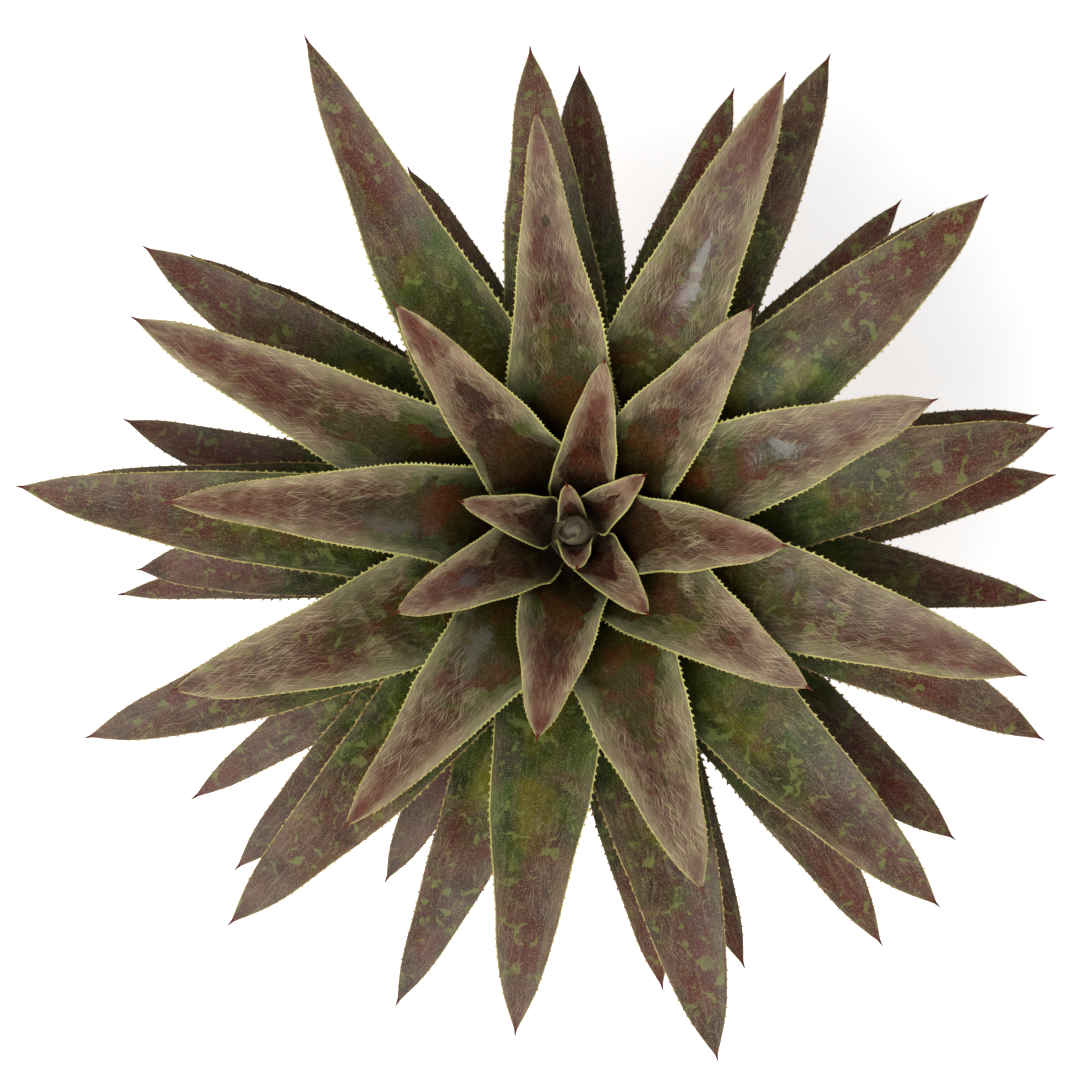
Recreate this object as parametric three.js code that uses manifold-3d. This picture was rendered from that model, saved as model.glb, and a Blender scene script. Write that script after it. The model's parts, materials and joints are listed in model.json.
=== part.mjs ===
// Potted mangave: a rosette of fleshy, toothed leaves on a short crown, rooted in potting mix in a plain clay pot.
// Millimetres and degrees, +Z up. The origin is the centre of the pot's underside, and every height is above it.
import * as THREE from 'three';
import { mergeVertices } from 'three/addons/utils/BufferGeometryUtils.js';
import Module from 'manifold-3d';

const wasm = await Module();
wasm.setup();
const { Manifold, Mesh } = wasm;

// ---- Clay pot
const POT_HEIGHT = 168;
const POT_BASE_RADIUS = 62;
const POT_BODY_TOP_RADIUS = 86; // outside, just under the collar
const POT_COLLAR_RADIUS = 95;
const POT_COLLAR_HEIGHT = 34;
const POT_WALL = 7;
const POT_COLLAR_WALL = 11;
const POT_FLOOR = 9;
const POT_EDGE = 2; // size of the small slope on each outer edge
const DRAIN_HOLE_RADIUS = 6;
const DRAIN_HOLE_RING = 36; // how far from the pot's axis the drain holes are
const DRAIN_HOLES = 4;
const DRAIN_HOLE_SIDES = 20;
const POT_SIDES = 64;

// ---- Potting mix
const SOIL_BELOW_RIM = 17;
const SOIL_MOUND = 5; // how much higher it lies round the crown than at the wall
const SOIL_SIDES = 48;

// ---- Crown, the short thick stem that every leaf grows from
const CROWN_FOOT_DEPTH = 30; // how far it is planted in the mix
const CROWN_FOOT_RADIUS = 20;
const CROWN_NECK = 16; // bare stem between the mix and the lowest leaf
const CROWN_RADIUS = 27; // at the lowest leaf
const CROWN_HEIGHT = 76; // from the lowest leaf to the growing tip: thicker leaves need a taller crown
const CROWN_SIDES = 32;

// ---- Bud, the youngest leaves still rolled into a cone
const BUD_LENGTH = 62;
const BUD_RADIUS = 8.5;
const BUD_FOOT_RADIUS = 3;
const BUD_SIDES = 20;

// ---- Leaves
const LEAF_THICKNESS = 4.2;
const LEAF_TIP_THICKNESS = 1.6;
const LEAF_BASE_SHARE = 0.66; // width where it leaves the crown, as a share of its widest
const WIDEST_AT = 0.34; // share of the length from the crown to the widest place
const TIP_SHAPE = [1.6, 0.7]; // how full the blade stays between there and its tip
const WAIST = 0.1; // how much of that fullness it loses where its sides hollow in
const CHANNEL = [42, 28]; // how far each half of a blade is curled up, for the innermost and the outermost
const GAP = 0.4; // room between pieces that touch
const BASE_RISE = [84, 26]; // slope of a leaf as it leaves the crown, for the innermost and the outermost
const TIP_RISE = [64, -12]; // slope at its tip, likewise

// Each leaf from the bud outwards, which is also from the top down. They follow each other by about 137 degrees.
// direction: where the tip points, anticlockwise from +X. reach: tip to the crown's axis, level.
// width: the blade's widest. bend: how far it swings sideways from foot to tip.
// waist: how hollow its sides are towards the tip, where it isn't the usual.
// drop: how much lower than the spiral puts it the foot is.
const LEAVES = [
  { direction: 100, reach: 22, width: 18, bend: 0, waist: 0.15 },
  { direction: 274, reach: 19, width: 24, bend: 0, waist: 0.15 },
  { direction: 38, reach: 42, width: 27, bend: 0, waist: 0.3 },
  { direction: 166.3, reach: 55.5, width: 30, bend: 0, waist: 0.3 },
  { direction: 310.8, reach: 53, width: 30, bend: 0, waist: 0.15 },
  { direction: 80.3, reach: 80, width: 36, bend: 0, waist: 0.2 },
  { direction: 205, reach: 92, width: 41, bend: 0, waist: 0.12 },
  { direction: 355.5, reach: 98, width: 44, bend: 0 },
  { direction: 128.8, reach: 132, width: 46, bend: 0, waist: 0.2 },
  { direction: 259.7, reach: 99.5, width: 50.4, bend: 0, waist: 0.22 },
  { direction: 51.6, reach: 131, width: 53, bend: 10, waist: 0.2 },
  { direction: 176.3, reach: 185.5, width: 52.5, bend: 8, waist: 0.25 },
  { direction: 325.8, reach: 132, width: 58, bend: 6, waist: 0.3 },
  { direction: 95.5, reach: 192, width: 57, bend: 0, waist: 0.38 },
  { direction: 232.2, reach: 174, width: 56.4, bend: -8, waist: 0.28 },
  { direction: 19.8, reach: 177, width: 55.8, bend: -2, waist: 0.12 },
  { direction: 154.5, reach: 224, width: 53, bend: 0 },
  { direction: 289.4, reach: 179, width: 61, bend: 0, waist: 0.2 },
  { direction: 65.3, reach: 230, width: 57, bend: 0, waist: 0.15 },
  { direction: 201.8, reach: 202.5, width: 60, bend: -15, waist: 0.12 },
  { direction: 342, reach: 220, width: 56, bend: 0, waist: 0.08 },
  { direction: 118.8, reach: 259, width: 56, bend: -8, waist: 0.25 },
  { direction: 263.2, reach: 237, width: 58, bend: 3, waist: 0.12 },
  { direction: 39, reach: 247, width: 59, bend: 8, waist: 0 },
  { direction: 175.6, reach: 261, width: 55, bend: -10, waist: 0.05 },
  { direction: 314, reach: 246, width: 57, bend: 3, waist: 0.03 },
  { direction: 95.3, reach: 229, width: 56, bend: 0, waist: 0.15 },
  { direction: 228.8, reach: 248, width: 58, bend: -8, waist: 0.12 },
  { direction: 12, reach: 232, width: 59, bend: 10, waist: 0.03 },
  { direction: 146.7, reach: 245, width: 54, bend: 0, waist: 0.08 },
  { direction: 285.1, reach: 261, width: 58, bend: -5, waist: 0.02 },
  { direction: 61.7, reach: 257, width: 54, bend: 8, waist: 0.08 },
  { direction: 203.1, reach: 254, width: 52, bend: -12, waist: 0.06 },
  { direction: 335.9, reach: 247, width: 50, bend: -10, waist: 0.06 },
  { direction: 114.6, reach: 193, width: 44, bend: 0, waist: 0 },
  { direction: 249.5, reach: 245, width: 49, bend: -10, waist: 0.15 },
  { direction: 41.4, reach: 232, width: 45, bend: 6, waist: 0.15 },
  { direction: 174.3, reach: 247, width: 46, bend: 0, waist: 0.15 },
  { direction: 306.6, reach: 251, width: 46, bend: -10, waist: 0.05 },
  { direction: 89.3, reach: 226, width: 48, bend: 5, waist: 0.02 },
  { direction: 225.1, reach: 234, width: 46, bend: 0, waist: 0.08 },
  { direction: 13.9, reach: 234, width: 46, bend: 0, waist: 0.03 },
  { direction: 144.3, reach: 231, width: 46, bend: 0, waist: 0.15 },
  { direction: 281, reach: 230, width: 43, bend: 0 },
  { direction: 70, reach: 231, width: 39, bend: 0, waist: 0.05 },
  { direction: 215.2, reach: 230, width: 40, bend: 0, waist: 0.15 },
  { direction: 351.5, reach: 236, width: 44, bend: 0, waist: 0.2 },
  { direction: 141.8, reach: 202, width: 44, bend: 0, waist: 0.15 },
  { direction: 241.9, reach: 198, width: 42, bend: 0, waist: 0.15 },
  { direction: 6.5, reach: 241, width: 50, bend: 8, waist: 0.15, drop: 1.5 },
  { direction: 166.2, reach: 230, width: 46, bend: -14, waist: 0.15 },
  { direction: 291.4, reach: 234, width: 41, bend: 0 },
  { direction: 45.1, reach: 232, width: 40, bend: 12, waist: 0.05, drop: 1 },
  { direction: 185.2, reach: 219, width: 50, bend: 0, waist: 0, drop: 1 },
  { direction: 321, reach: 246, width: 50, bend: 0, waist: 0.02 },
  { direction: 188.1, reach: 231, width: 38, bend: 0, waist: 0.25, drop: 5.5 },
];

// Where a leaf's rings of vertices lie, as shares of its length. The tip follows the last.
const STATIONS = [0, 0.07, 0.16, 0.27, 0.39, 0.52, 0.66, 0.8, 0.93];
// A ring's places across the blade, from its left edge at -1 to its right edge at 1.
const ACROSS = [-0.55, 0, 0.55];
const PATH_STEPS = 100;

const radians = THREE.MathUtils.degToRad;
const mix = THREE.MathUtils.lerp;
const smooth = THREE.MathUtils.smoothstep;

const soilTop = POT_HEIGHT - SOIL_BELOW_RIM;
const crownBase = soilTop + SOIL_MOUND + CROWN_NECK;

// The crown is a dome, and a leaf's place on it runs from 0 at the growing tip to 1 at the lowest leaf.
function crownAt(place) {
  return {
    radius: CROWN_RADIUS * Math.sqrt(1 - (1 - place) ** 2),
    height: crownBase + CROWN_HEIGHT * (1 - place),
  };
}

function widthShare(t, waist) {
  if (t < WIDEST_AT) return mix(LEAF_BASE_SHARE, 1, Math.sin((Math.PI / 2) * (t / WIDEST_AT)));
  const past = (t - WIDEST_AT) / (1 - WIDEST_AT);
  return (1 - past ** TIP_SHAPE[0]) ** TIP_SHAPE[1] * (1 - waist * smooth(past, 0, 0.8));
}

// The leaf's middle line for a length of 1, from its foot at the origin, setting off along +X: it climbs at its
// base slope, eases to its tip slope, and swings sideways evenly.
function middleLine(place, leaf) {
  const base = mix(BASE_RISE[0], BASE_RISE[1], place ** 0.8);
  const tip = mix(TIP_RISE[1], TIP_RISE[0], Math.exp(-4.2 * place));
  const point = new THREE.Vector3();
  const line = [];
  for (let i = 0; i <= PATH_STEPS; i++) {
    const t = i / PATH_STEPS;
    const rise = radians(mix(base, tip, smooth(t, -0.25, 1.05)));
    const heading = radians(leaf.bend * t);
    const along = new THREE.Vector3(
      Math.cos(rise) * Math.cos(heading),
      Math.cos(rise) * Math.sin(heading),
      Math.sin(rise),
    );
    line.push({ t, point: point.clone(), along, rise, heading });
    point.addScaledVector(along, 1 / PATH_STEPS);
  }
  return line;
}

function loft(rings, tip) {
  const n = rings[0].length;
  const half = n / 2;
  const positions = [...rings.flat(), tip].flatMap((p) => [p.x, p.y, p.z]);
  const faces = [];
  const quad = (a, b, c, d) => faces.push(a, d, c, a, c, b);
  for (let r = 0; r < rings.length - 1; r++)
    for (let i = 0; i < n; i++) {
      const j = (i + 1) % n;
      quad(r * n + i, r * n + j, (r + 1) * n + j, (r + 1) * n + i);
    }
  const last = (rings.length - 1) * n;
  for (let i = 0; i < n; i++) faces.push(last + i, rings.length * n, last + ((i + 1) % n));
  faces.push(0, 1, n - 1, half, half + 1, half - 1);
  for (let i = 1; i < half - 1; i++) quad(i, n - i, n - i - 1, i + 1);
  const geometry = new THREE.BufferGeometry();
  geometry.setAttribute('position', new THREE.Float32BufferAttribute(positions, 3));
  geometry.setIndex(faces);
  geometry.computeVertexNormals();
  return geometry;
}

function leafMesh(leaf, index) {
  const place = (index + 1) / LEAVES.length;
  const foot = crownAt(place);
  foot.height -= leaf.drop ?? 0;
  const line = middleLine(place, leaf);
  const start = foot.radius + GAP + (LEAF_THICKNESS / 2) * Math.sin(line[0].rise);
  // The length that puts the tip at its reach: |(start, 0) + length * end| = reach.
  const end = line[PATH_STEPS].point;
  const level = end.x ** 2 + end.y ** 2;
  const length =
    (-start * end.x + Math.sqrt((start * end.x) ** 2 + level * (leaf.reach ** 2 - start ** 2))) / level;
  const rings = STATIONS.map((t) => {
    const step = line[Math.round(t * PATH_STEPS)];
    const { along, rise, heading } = step;
    const centre = step.point.clone().multiplyScalar(length).add(new THREE.Vector3(start, 0, foot.height));
    const halfWidth = (leaf.width / 2) * widthShare(t, leaf.waist ?? WAIST);
    const side = new THREE.Vector3(-Math.sin(heading), Math.cos(heading), 0);
    const up = new THREE.Vector3().crossVectors(along, side).normalize();
    const out = Math.hypot(centre.x, centre.y);
    const channel = radians(mix(CHANNEL[0], CHANNEL[1], place)) / (leaf.width / 2);
    const curl = Math.sin(rise) / out + channel * smooth(t, 0.1, 0.5);
    const thickness = mix(LEAF_THICKNESS, LEAF_TIP_THICKNESS, smooth(t, 0.2, 1));
    const at = (across, lift) => {
      const angle = across * halfWidth * curl;
      const radius = 1 / curl - lift;
      return centre
        .clone()
        .addScaledVector(side, radius * Math.sin(angle))
        .addScaledVector(up, 1 / curl - radius * Math.cos(angle));
    };
    const lift = (across) => (thickness / 2) * (1 - Math.abs(across) ** 2.2);
    return [
      at(-1, 0),
      ...ACROSS.map((a) => at(a, lift(a))),
      at(1, 0),
      ...ACROSS.toReversed().map((a) => at(a, -lift(a))),
    ];
  });
  const tip = end.clone().multiplyScalar(length).add(new THREE.Vector3(start, 0, foot.height));
  const mesh = new THREE.Mesh(loft(rings, tip), leafMaterial);
  mesh.name = 'leaf_' + String(index + 1).padStart(2, '0');
  mesh.rotation.z = radians(leaf.direction) - Math.atan2(tip.y, tip.x);
  return mesh;
}

// A solid of revolution from [radius, height] points that run up its outside and end on the axis.
function turned(name, profile, sides, material) {
  const geometry = new THREE.LatheGeometry(
    profile.map(([r, z]) => new THREE.Vector2(r, z)),
    sides,
  );
  geometry.rotateX(Math.PI / 2);
  const mesh = new THREE.Mesh(geometry, material);
  mesh.name = name;
  return mesh;
}

function toManifold(geometry) {
  const bare = geometry.clone().deleteAttribute('normal').deleteAttribute('uv');
  const welded = mergeVertices(bare);
  return new Manifold(
    new Mesh({
      numProp: 3,
      vertProperties: Float32Array.from(welded.attributes.position.array),
      triVerts: Uint32Array.from(welded.index.array),
    }),
  );
}

function fromManifold(solid) {
  const { vertProperties, triVerts } = solid.getMesh();
  const geometry = new THREE.BufferGeometry();
  geometry.setAttribute('position', new THREE.Float32BufferAttribute(vertProperties, 3));
  geometry.setIndex(Array.from(triVerts));
  geometry.computeVertexNormals();
  return geometry;
}

const clayMaterial = new THREE.MeshStandardMaterial({ color: 0xb5694a, roughness: 0.9, metalness: 0 });
const soilMaterial = new THREE.MeshStandardMaterial({ color: 0x3a2b20, roughness: 1, metalness: 0 });
const crownMaterial = new THREE.MeshStandardMaterial({ color: 0x8c7a55, roughness: 0.85, metalness: 0 });
const leafMaterial = new THREE.MeshStandardMaterial({ color: 0x5f5a45, roughness: 0.55, metalness: 0 });
const budMaterial = new THREE.MeshStandardMaterial({ color: 0x6d6a58, roughness: 0.6, metalness: 0 });

const collarBase = POT_HEIGHT - POT_COLLAR_HEIGHT;
const lipInside = POT_COLLAR_RADIUS - POT_COLLAR_WALL;

// Inside radius of the pot at a height: the wall keeps its thickness up to the collar, then opens to the lip.
function potInside(z) {
  const share = (Math.min(z, collarBase) - POT_EDGE) / (collarBase - POT_EDGE);
  const body = mix(POT_BASE_RADIUS, POT_BODY_TOP_RADIUS, share) - POT_WALL;
  return mix(body, lipInside, Math.max(z - collarBase, 0) / (POT_COLLAR_HEIGHT - POT_EDGE));
}

function drainHole(index) {
  const angle = ((index + 0.5) / DRAIN_HOLES) * 2 * Math.PI;
  const hole = new THREE.CylinderGeometry(DRAIN_HOLE_RADIUS, DRAIN_HOLE_RADIUS, POT_FLOOR * 2, DRAIN_HOLE_SIDES);
  hole.rotateX(Math.PI / 2);
  hole.translate(DRAIN_HOLE_RING * Math.cos(angle), DRAIN_HOLE_RING * Math.sin(angle), POT_FLOOR / 2);
  return toManifold(hole);
}

function pot() {
  const mesh = turned(
    'pot',
    [
      [0, 0],
      [POT_BASE_RADIUS - POT_EDGE, 0],
      [POT_BASE_RADIUS, POT_EDGE],
      [POT_BODY_TOP_RADIUS, collarBase],
      [POT_COLLAR_RADIUS - POT_EDGE - 1, collarBase],
      [POT_COLLAR_RADIUS - 1, collarBase + POT_EDGE],
      [POT_COLLAR_RADIUS, POT_HEIGHT - POT_EDGE],
      [POT_COLLAR_RADIUS - POT_EDGE, POT_HEIGHT],
      [lipInside + POT_EDGE, POT_HEIGHT],
      [lipInside, POT_HEIGHT - POT_EDGE],
      [potInside(collarBase), collarBase],
      [potInside(POT_FLOOR), POT_FLOOR],
      [0, POT_FLOOR],
    ],
    POT_SIDES,
    clayMaterial,
  );
  const holes = Array.from({ length: DRAIN_HOLES }, (_, i) => drainHole(i));
  mesh.geometry = fromManifold(toManifold(mesh.geometry).subtract(Manifold.union(holes)));
  return mesh;
}

function soil() {
  return turned(
    'soil',
    [
      [0, POT_FLOOR + GAP],
      [potInside(POT_FLOOR) - GAP, POT_FLOOR + GAP],
      [potInside(collarBase) - GAP, collarBase],
      [potInside(soilTop) - GAP, soilTop],
      [CROWN_FOOT_RADIUS * 2, soilTop + SOIL_MOUND * 0.7],
      [CROWN_FOOT_RADIUS + GAP, soilTop + SOIL_MOUND],
      [CROWN_FOOT_RADIUS + GAP, soilTop - CROWN_FOOT_DEPTH],
      [0, soilTop - CROWN_FOOT_DEPTH],
    ],
    SOIL_SIDES,
    soilMaterial,
  );
}

function crown() {
  const places = [1, 0.8, 0.6, 0.42, 0.27, 0.15, 0.07, 0.03];
  const dome = places.map((p) => [crownAt(p).radius, crownAt(p).height]);
  return turned(
    'crown',
    [
      [0, soilTop - CROWN_FOOT_DEPTH + GAP],
      [CROWN_FOOT_RADIUS, soilTop - CROWN_FOOT_DEPTH + GAP],
      [CROWN_FOOT_RADIUS, soilTop + SOIL_MOUND + 2],
      [CROWN_RADIUS, crownBase - CROWN_NECK / 2],
      ...dome,
      [0, dome.at(-1)[1]],
    ],
    CROWN_SIDES,
    crownMaterial,
  );
}

function bud() {
  const foot = crownAt(0.03).height + GAP;
  return turned(
    'bud',
    [
      [0, foot],
      [BUD_FOOT_RADIUS, foot],
      [BUD_RADIUS * 0.7, foot + BUD_LENGTH * 0.3],
      [BUD_RADIUS, foot + BUD_LENGTH * 0.6],
      [BUD_RADIUS * 0.8, foot + BUD_LENGTH * 0.85],
      [0, foot + BUD_LENGTH],
    ],
    BUD_SIDES,
    budMaterial,
  );
}

const plant = new THREE.Group();
plant.add(pot(), soil(), crown(), bud(), ...LEAVES.map(leafMesh));

export default plant;
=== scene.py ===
"""Potted mangave: a rosette of toothed leaves round a short crown, in potting mix in a plain clay pot."""

import json
import math

import bpy
import numpy as np
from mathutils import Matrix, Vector


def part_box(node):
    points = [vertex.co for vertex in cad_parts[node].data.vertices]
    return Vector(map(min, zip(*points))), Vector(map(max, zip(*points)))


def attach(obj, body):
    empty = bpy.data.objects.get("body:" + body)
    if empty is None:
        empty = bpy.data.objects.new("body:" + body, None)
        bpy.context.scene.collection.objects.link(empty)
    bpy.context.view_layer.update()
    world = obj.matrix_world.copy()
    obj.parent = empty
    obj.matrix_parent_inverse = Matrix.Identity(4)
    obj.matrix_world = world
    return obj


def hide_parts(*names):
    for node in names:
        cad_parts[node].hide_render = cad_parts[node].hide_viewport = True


bl_info = {
    "name": "Potted mangave",
    "version": (1, 0, 0),
    "blender": (4, 5, 0),
    "location": "View3D > Sidebar > Mangave",
    "description": "Finishes a plain potted mangave with toothed leaves, potting mix and a clay pot",
    "category": "Add Mesh",
}

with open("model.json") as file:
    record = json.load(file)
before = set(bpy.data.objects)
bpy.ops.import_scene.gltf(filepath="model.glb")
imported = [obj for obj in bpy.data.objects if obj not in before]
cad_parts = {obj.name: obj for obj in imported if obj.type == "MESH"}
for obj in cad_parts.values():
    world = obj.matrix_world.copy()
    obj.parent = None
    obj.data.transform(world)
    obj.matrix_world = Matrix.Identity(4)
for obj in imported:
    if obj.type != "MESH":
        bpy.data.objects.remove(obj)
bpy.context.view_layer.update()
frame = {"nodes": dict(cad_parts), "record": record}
LEAVES = sorted(node for node in frame["nodes"] if node.startswith("leaf_"))
TURN = 2 * math.pi
GOLDEN_TURN = math.radians(137.508)


def box_of(node):
    """Lowest and highest corner of a plain solid as arrays."""
    low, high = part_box(node)
    return np.array(low), np.array(high)


def paint(red, green, blue):
    """A colour given in 0 to 255 display values, as the linear values that Blender keeps."""
    share = np.array([red, green, blue]) / 255
    linear = np.where(share <= 0.04045, share / 12.92, ((share + 0.055) / 1.055) ** 2.4)
    return tuple(float(v) for v in linear)


# ---------------------------------------------------------------- sizes and colours that a user may change


def setting(kind, **rules):
    """What makes settings of one kind, each from its name, description and default."""
    return lambda name, about, default: kind(name=name, description=about, default=default, **rules)


length = setting(bpy.props.FloatProperty, min=0, precision=5, unit="LENGTH", subtype="DISTANCE")
power = setting(bpy.props.FloatProperty, min=0, unit="POWER")
strength = setting(bpy.props.FloatProperty, min=0)
share = setting(bpy.props.FloatProperty, min=0, max=1, subtype="FACTOR")
number = setting(bpy.props.IntProperty, min=1)
colour = setting(bpy.props.FloatVectorProperty, size=3, min=0, max=1, subtype="COLOR")


class MangaveLeafSettings(bpy.types.PropertyGroup):
    rim: length("Rim thickness", "Thickness of the horny rim round each blade", 0.0006)
    wave: length("Edge wave", "How far a blade's edges wave up and down", 0.0009)
    tooth_height: length("Tooth height", "Height of the largest teeth", 0.0021)
    tooth_spacing: length("Tooth spacing", "From one tooth to the next near the foot of an old leaf", 0.0046)
    spine_length: length("Spine length", "Length of the spine at each tip", 0.0042)
    rows: number("Rows", "Steps along each blade", 96)
    columns: number("Columns", "Steps across each face of a blade", 16)
    young_skin: colour("Young skin", "Dusky mauve of the inner leaves", paint(96, 64, 50))
    young_shade: colour("Young shade", "Darker mauve of the inner leaves", paint(60, 34, 28))
    young_tip: colour("Young tips", "Pale mauve towards the tips of the inner leaves", paint(160, 128, 104))
    old_skin: colour("Old skin", "Maroon brown of the outer leaves", paint(78, 42, 30))
    old_shade: colour("Old shade", "Darkest maroon of the outer leaves", paint(42, 23, 16))
    foot_green: colour("Foot green", "Olive green towards the foot of a leaf", paint(50, 70, 5))
    channel: colour("Channel", "Deep maroon in the middle of each blade", paint(60, 22, 14))
    cup_dark: colour("Cup colour", "Bare skin in the cup of an inner leaf", paint(46, 12, 6))
    cup_warm: colour("Warm cup colour", "Thinner bare skin in a cup", paint(80, 32, 12))
    bloom: colour("Bloom", "Grey wax along the edges", paint(176, 170, 126))
    fibre: colour("Streaks", "Pale brushed streaks in the wax", paint(228, 214, 166))
    fleck: colour("Flecks", "Pale green flecks on old leaves", paint(120, 130, 66))
    rim_young: colour("Young rim", "Yellow green rim of the inner leaves", paint(200, 196, 112))
    rim_old: colour("Old rim", "Straw brown rim of the outer leaves", paint(176, 152, 92))
    spine: colour("Spine", "Red brown of the spines", paint(92, 36, 20))


class MangaveHeartSettings(bpy.types.PropertyGroup):
    wrap_step: length("Wrap step", "How far the bud's outer wrap stands over the inner one", 0.0022)
    scar_depth: length("Scar depth", "Depth of the leaf scars on the crown", 0.0009)
    bud_skin: colour("Bud skin", "Grey green brown of the rolled bud", paint(92, 84, 62))
    bud_shade: colour("Bud shade", "Mauve shade low on the bud", paint(46, 32, 28))
    crown_skin: colour("Crown skin", "Dry stem skin", paint(150, 132, 92))


class MangaveSoilSettings(bpy.types.PropertyGroup):
    relief: length("Relief", "Height of the lumps in the mix", 0.0024)
    crumbs: number("Crumbs", "Loose crumbs of bark and peat on top", 1500)
    pumice: number("Pumice", "Pale grains of pumice on top", 260)
    mix: colour("Mix", "Damp potting mix", paint(62, 46, 36))
    bark: colour("Bark", "Bark crumbs", paint(104, 72, 48))
    grain: colour("Pumice", "Pumice grains", paint(206, 198, 184))


class MangavePotSettings(bpy.types.PropertyGroup):
    rounding: length("Rounding", "Radius of the pot's worn edges", 0.0022)
    ripple: length("Ripple", "Depth of the turning marks", 0.00012)
    segments: number("Segments", "Steps round the pot", 180)
    clay: colour("Clay", "Fired clay", paint(186, 108, 76))
    clay_dark: colour("Damp clay", "Clay where water has soaked in", paint(150, 82, 58))
    lime: colour("Lime", "Pale salts left by hard water", paint(222, 196, 172))


class MangaveStageSettings(bpy.types.PropertyGroup):
    floor: colour("Floor", "Plain pale floor", (0.93, 0.93, 0.92))
    key: power("Key light", "Power of the large soft light", 68)
    rim: power("Side light", "Power of the side light", 6)
    glow: share("Floor glow", "How much light the floor gives, as a light table does", 0.55)
    sky: strength("Sky", "Strength of the even light all round", 0.27)


# ---------------------------------------------------------------- surfaces


def smooth(value, low, high):
    """0 below low, 1 above high, and an even S curve between them."""
    x = np.clip((value - low) / (high - low), 0, 1)
    return x * x * (3 - 2 * x)


def unit(vectors):
    return vectors / np.maximum(np.linalg.norm(vectors, axis=-1, keepdims=True), 1e-12)


def spline(knots, values, at):
    """Natural cubic spline: the curve through the values whose second slope is zero at both ends and has no
    jumps."""
    gap = np.diff(knots)
    count = len(knots)
    bend = np.eye(count)
    inner = np.arange(1, count - 1)
    bend[inner, inner] = 2 * (gap[:-1] + gap[1:])
    bend[inner, inner - 1], bend[inner, inner + 1] = gap[:-1], gap[1:]
    flat = values.reshape(count, -1)
    slope = np.diff(flat, axis=0) / gap[:, None]
    right = np.zeros_like(flat)
    right[1:-1] = 6 * np.diff(slope, axis=0)
    second = np.linalg.solve(bend, right)
    i = np.clip(np.searchsorted(knots, at) - 1, 0, count - 2)
    h, a, b = gap[i][:, None], (knots[i + 1] - at)[:, None], (at - knots[i])[:, None]
    curve = (second[i] * a**3 + second[i + 1] * b**3) / (6 * h)
    curve += (flat[i] / h - second[i] * h / 6) * a + (flat[i + 1] / h - second[i + 1] * h / 6) * b
    return curve.reshape(len(at), *values.shape[1:])


def through(nodes, at):
    """Weights that carry values at the nodes to the given places along the one polynomial through them
    all."""
    weights = np.ones((len(at), len(nodes)))
    for j, node in enumerate(nodes):
        for k, other in enumerate(nodes):
            if k != j:
                weights[:, j] *= (at - other) / (node - other)
    return weights


def around(centre, radius, angle, height):
    """Points round an upright axis, from radii, angles and heights that spread over one grid."""
    radius, angle, height = np.broadcast_arrays(radius, angle, height)
    return np.stack([centre[0] + radius * np.cos(angle), centre[1] + radius * np.sin(angle), height], -1)


def capped(grid, first, last):
    """Points and faces of a closed skin. The rows of the grid are its rings. A fan of triangles joins the
    first ring to the point first, and another joins the last ring to the point last."""
    rows, columns = grid.shape[:2]
    count = rows * columns
    ring = np.arange(columns)
    after = np.roll(ring, -1)
    row = np.arange(0, count - columns, columns)[:, None]
    quads = np.stack([row + ring, row + after, row + columns + after, row + columns + ring], -1)
    opening = np.stack([after, ring, np.full(columns, count)], -1)
    closing = np.stack([ring + count - columns, after + count - columns, np.full(columns, count + 1)], -1)
    points = np.concatenate([grid.reshape(-1, 3), [first, last]])
    return points, [quads.reshape(-1, 4), np.concatenate([opening, closing])]


def on_corners(grid, value, first=0.0, last=0.0):
    """A value for each point of capped(grid): one that spreads over the grid, then those of the two end
    points."""
    return np.concatenate([np.broadcast_to(value, grid.shape[:2]).ravel(), [first, last]])


def facing_out(points, faces):
    """The faces, turned round as a whole if the closed surface holds a negative volume."""
    volume = 0.0
    for group in faces:
        for k in range(1, group.shape[1] - 1):
            a, b, c = points[group[:, 0]], points[group[:, k]], points[group[:, k + 1]]
            volume += np.einsum("ij,ij->i", a, np.cross(b, c)).sum()
    return faces if volume > 0 else [group[:, ::-1] for group in faces]


def lumps(points, size, seed, waves=24):
    """Soft bumps from -1 to 1: the mean of plane waves in seeded directions, about one bump to a size."""
    draw = np.random.default_rng(seed)
    ways = unit(draw.normal(size=(waves, points.shape[-1]))) * TURN / size
    ways = ways * draw.uniform(0.6, 1.5, (waves, 1))
    return np.sin(points @ ways.T + draw.uniform(0, TURN, waves)).mean(-1) * math.sqrt(waves) / 2


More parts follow.
